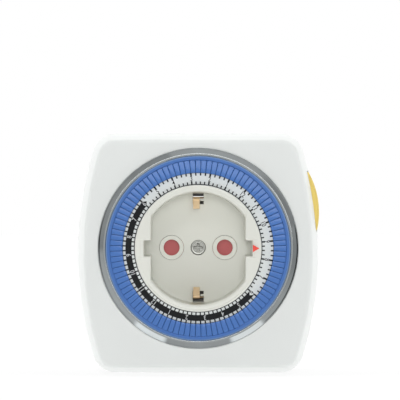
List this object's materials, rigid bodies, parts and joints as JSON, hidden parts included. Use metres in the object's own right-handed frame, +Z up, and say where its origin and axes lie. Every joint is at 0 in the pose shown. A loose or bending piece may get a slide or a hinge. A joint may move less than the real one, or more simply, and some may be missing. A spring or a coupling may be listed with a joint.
{
  "type": "plug in timer switch",
  "caption": "Plug-in mechanical day timer: a round earthed socket inside a turning ring of push-down trippers, an override slide at the side and an earthed plug behind.",
  "frame": {"origin": "middle of the plug's end face, which the two pins stand on", "axes": "+Y along the plug pins into the wall, -Y towards the dial, +Z up, +X right seen from the front"},
  "size_m": [0.086, 0.0766, 0.0855],
  "materials": {
    "housing_grey": "fine satin moulded plastic",
    "socket_grey": "smooth moulded plastic",
    "bezel_chrome": "bright plated",
    "dial_blue": "smooth moulded plastic",
    "tripper_blue": "smooth moulded plastic",
    "ring_print": "printed black and white",
    "pointer_red": "smooth moulded plastic",
    "shutter_red": "moulded plastic",
    "slide_yellow": "smooth moulded plastic",
    "pin_nickel": "bright nickel plate",
    "contact_brass": "stamped sheet",
    "earth_metal": "stamped sheet",
    "screw_steel": "zinc plated",
    "spring_steel": "drawn wire",
    "base_black": "moulded thermoset",
    "plate_white": "moulded plastic",
    "gear_natural": "moulded plastic",
    "motor_steel": "drawn can"
  },
  "bodies": {
    "housing": {"front_cover": "housing_grey", "rear_cover": "housing_grey", "socket_insert": "socket_grey", "time_pointer": "pointer_red", "bezel_ring": "bezel_chrome", "centre_screw": "screw_steel", "housing_screws": "screw_steel", "contact_base": "base_black", "shutter_spring": "spring_steel", "earth_strip_top": "earth_metal", "earth_strip_bottom": "earth_metal", "earth_link": "earth_metal", "plug_pin_left": "pin_nickel", "plug_pin_right": "pin_nickel", "neutral_contact": "contact_brass", "live_contact": "contact_brass", "live_strip": "contact_brass", "movement_plate": "plate_white", "gear_shaft": "screw_steel", "gear_motor": "motor_steel", "motor_screws": "screw_steel", "lever_pin": "screw_steel", "lever_spring": "spring_steel"},
    "dial": {"dial_carrier": "dial_blue", "number_ring": "ring_print"},
    "second_gear": {"reduction_gear": "gear_natural"},
    "motor_shaft": {"motor_pinion": "contact_brass"},
    "shutter": {"shutter": "shutter_red"},
    "trip_lever": {"trip_lever": "plate_white", "contact_bridge": "contact_brass"},
    "override": {"override_slide": "slide_yellow"},
    "tripper_bank_00": {"tripper_bank_00": "tripper_blue"},
    "tripper_bank_01": {"tripper_bank_01": "tripper_blue"},
    "tripper_bank_02": {"tripper_bank_02": "tripper_blue"},
    "tripper_bank_03": {"tripper_bank_03": "tripper_blue"},
    "tripper_bank_04": {"tripper_bank_04": "tripper_blue"},
    "tripper_bank_05": {"tripper_bank_05": "tripper_blue"},
    "tripper_bank_06": {"tripper_bank_06": "tripper_blue"},
    "tripper_bank_07": {"tripper_bank_07": "tripper_blue"},
    "tripper_bank_08": {"tripper_bank_08": "tripper_blue"},
    "tripper_bank_09": {"tripper_bank_09": "tripper_blue"},
    "tripper_bank_10": {"tripper_bank_10": "tripper_blue"},
    "tripper_bank_11": {"tripper_bank_11": "tripper_blue"},
    "tripper_bank_12": {"tripper_bank_12": "tripper_blue"},
    "tripper_bank_13": {"tripper_bank_13": "tripper_blue"},
    "tripper_bank_14": {"tripper_bank_14": "tripper_blue"},
    "tripper_bank_15": {"tripper_bank_15": "tripper_blue"},
    "tripper_bank_16": {"tripper_bank_16": "tripper_blue"},
    "tripper_bank_17": {"tripper_bank_17": "tripper_blue"},
    "tripper_bank_18": {"tripper_bank_18": "tripper_blue"},
    "tripper_bank_19": {"tripper_bank_19": "tripper_blue"},
    "tripper_bank_20": {"tripper_bank_20": "tripper_blue"},
    "tripper_bank_21": {"tripper_bank_21": "tripper_blue"},
    "tripper_bank_22": {"tripper_bank_22": "tripper_blue"},
    "tripper_bank_23": {"tripper_bank_23": "tripper_blue"}
  },
  "joints": [
    {"name": "dial_turn", "type": "hinge", "parent": "housing", "child": "dial", "pos_m": [0, -0.05, 0], "axis": [0, 1, 0], "continuous": true},
    {"name": "second_gear_turn", "type": "hinge", "parent": "housing", "child": "second_gear", "pos_m": [-0.02482, -0.0425, -0.02482], "axis": [0, 1, 0], "continuous": true},
    {"name": "motor_shaft_turn", "type": "hinge", "parent": "housing", "child": "motor_shaft", "pos_m": [-0.0158, -0.0415, -0.0281], "axis": [0, 1, 0], "continuous": true},
    {"name": "override_press", "type": "slide", "parent": "housing", "child": "override", "axis": [0, 1, 0], "range_m": [0, 0.002]},
    {"name": "trip_lever_rock", "type": "hinge", "parent": "housing", "child": "trip_lever", "pos_m": [0.02825, -0.0427, -0.013], "axis": [-1, 0, 0], "range_deg": [0, 5], "stiffness_Nm_per_rad": 0.03, "springref_deg": -2.86, "deforming": ["lever_spring"]},
    {"name": "shutter_turn", "type": "hinge", "parent": "housing", "child": "shutter", "pos_m": [0, -0.036, 0], "axis": [0, 1, 0], "range_deg": [0, 40], "stiffness_Nm_per_rad": 0.001, "springref_deg": -17.19, "deforming": ["shutter_spring"]},
    {"name": "tripper_bank_00_press", "type": "slide", "parent": "dial", "child": "tripper_bank_00", "axis": [0, 1, 0], "range_m": [0, 0.002]},
    {"name": "tripper_bank_01_press", "type": "slide", "parent": "dial", "child": "tripper_bank_01", "axis": [0, 1, 0], "range_m": [0, 0.002]},
    {"name": "tripper_bank_02_press", "type": "slide", "parent": "dial", "child": "tripper_bank_02", "axis": [0, 1, 0], "range_m": [0, 0.002]},
    {"name": "tripper_bank_03_press", "type": "slide", "parent": "dial", "child": "tripper_bank_03", "axis": [0, 1, 0], "range_m": [0, 0.002]},
    {"name": "tripper_bank_04_press", "type": "slide", "parent": "dial", "child": "tripper_bank_04", "axis": [0, 1, 0], "range_m": [0, 0.002]},
    {"name": "tripper_bank_05_press", "type": "slide", "parent": "dial", "child": "tripper_bank_05", "axis": [0, 1, 0], "range_m": [0, 0.002]},
    {"name": "tripper_bank_06_press", "type": "slide", "parent": "dial", "child": "tripper_bank_06", "axis": [0, 1, 0], "range_m": [0, 0.002]},
    {"name": "tripper_bank_07_press", "type": "slide", "parent": "dial", "child": "tripper_bank_07", "axis": [0, 1, 0], "range_m": [0, 0.002]},
    {"name": "tripper_bank_08_press", "type": "slide", "parent": "dial", "child": "tripper_bank_08", "axis": [0, 1, 0], "range_m": [0, 0.002]},
    {"name": "tripper_bank_09_press", "type": "slide", "parent": "dial", "child": "tripper_bank_09", "axis": [0, 1, 0], "range_m": [0, 0.002]},
    {"name": "tripper_bank_10_press", "type": "slide", "parent": "dial", "child": "tripper_bank_10", "axis": [0, 1, 0], "range_m": [0, 0.002]},
    {"name": "tripper_bank_11_press", "type": "slide", "parent": "dial", "child": "tripper_bank_11", "axis": [0, 1, 0], "range_m": [0, 0.002]},
    {"name": "tripper_bank_12_press", "type": "slide", "parent": "dial", "child": "tripper_bank_12", "axis": [0, 1, 0], "range_m": [0, 0.002]},
    {"name": "tripper_bank_13_press", "type": "slide", "parent": "dial", "child": "tripper_bank_13", "axis": [0, 1, 0], "range_m": [0, 0.002]},
    {"name": "tripper_bank_14_press", "type": "slide", "parent": "dial", "child": "tripper_bank_14", "axis": [0, 1, 0], "range_m": [0, 0.002]},
    {"name": "tripper_bank_15_press", "type": "slide", "parent": "dial", "child": "tripper_bank_15", "axis": [0, 1, 0], "range_m": [0, 0.002]},
    {"name": "tripper_bank_16_press", "type": "slide", "parent": "dial", "child": "tripper_bank_16", "axis": [0, 1, 0], "range_m": [0, 0.002]},
    {"name": "tripper_bank_17_press", "type": "slide", "parent": "dial", "child": "tripper_bank_17", "axis": [0, 1, 0], "range_m": [0, 0.002]},
    {"name": "tripper_bank_18_press", "type": "slide", "parent": "dial", "child": "tripper_bank_18", "axis": [0, 1, 0], "range_m": [0, 0.002]},
    {"name": "tripper_bank_19_press", "type": "slide", "parent": "dial", "child": "tripper_bank_19", "axis": [0, 1, 0], "range_m": [0, 0.002]},
    {"name": "tripper_bank_20_press", "type": "slide", "parent": "dial", "child": "tripper_bank_20", "axis": [0, 1, 0], "range_m": [0, 0.002]},
    {"name": "tripper_bank_21_press", "type": "slide", "parent": "dial", "child": "tripper_bank_21", "axis": [0, 1, 0], "range_m": [0, 0.002]},
    {"name": "tripper_bank_22_press", "type": "slide", "parent": "dial", "child": "tripper_bank_22", "axis": [0, 1, 0], "range_m": [0, 0.002]},
    {"name": "tripper_bank_23_press", "type": "slide", "parent": "dial", "child": "tripper_bank_23", "axis": [0, 1, 0], "range_m": [0, 0.002]}
  ],
  "couplings": [
    {"joint": "second_gear_turn", "follows": "dial_turn", "ratio": -8},
    {"joint": "motor_shaft_turn", "follows": "dial_turn", "ratio": 24},
    {"joint": "trip_lever_rock", "follows": "override_press", "rad_per_m": 43.63}
  ]
}
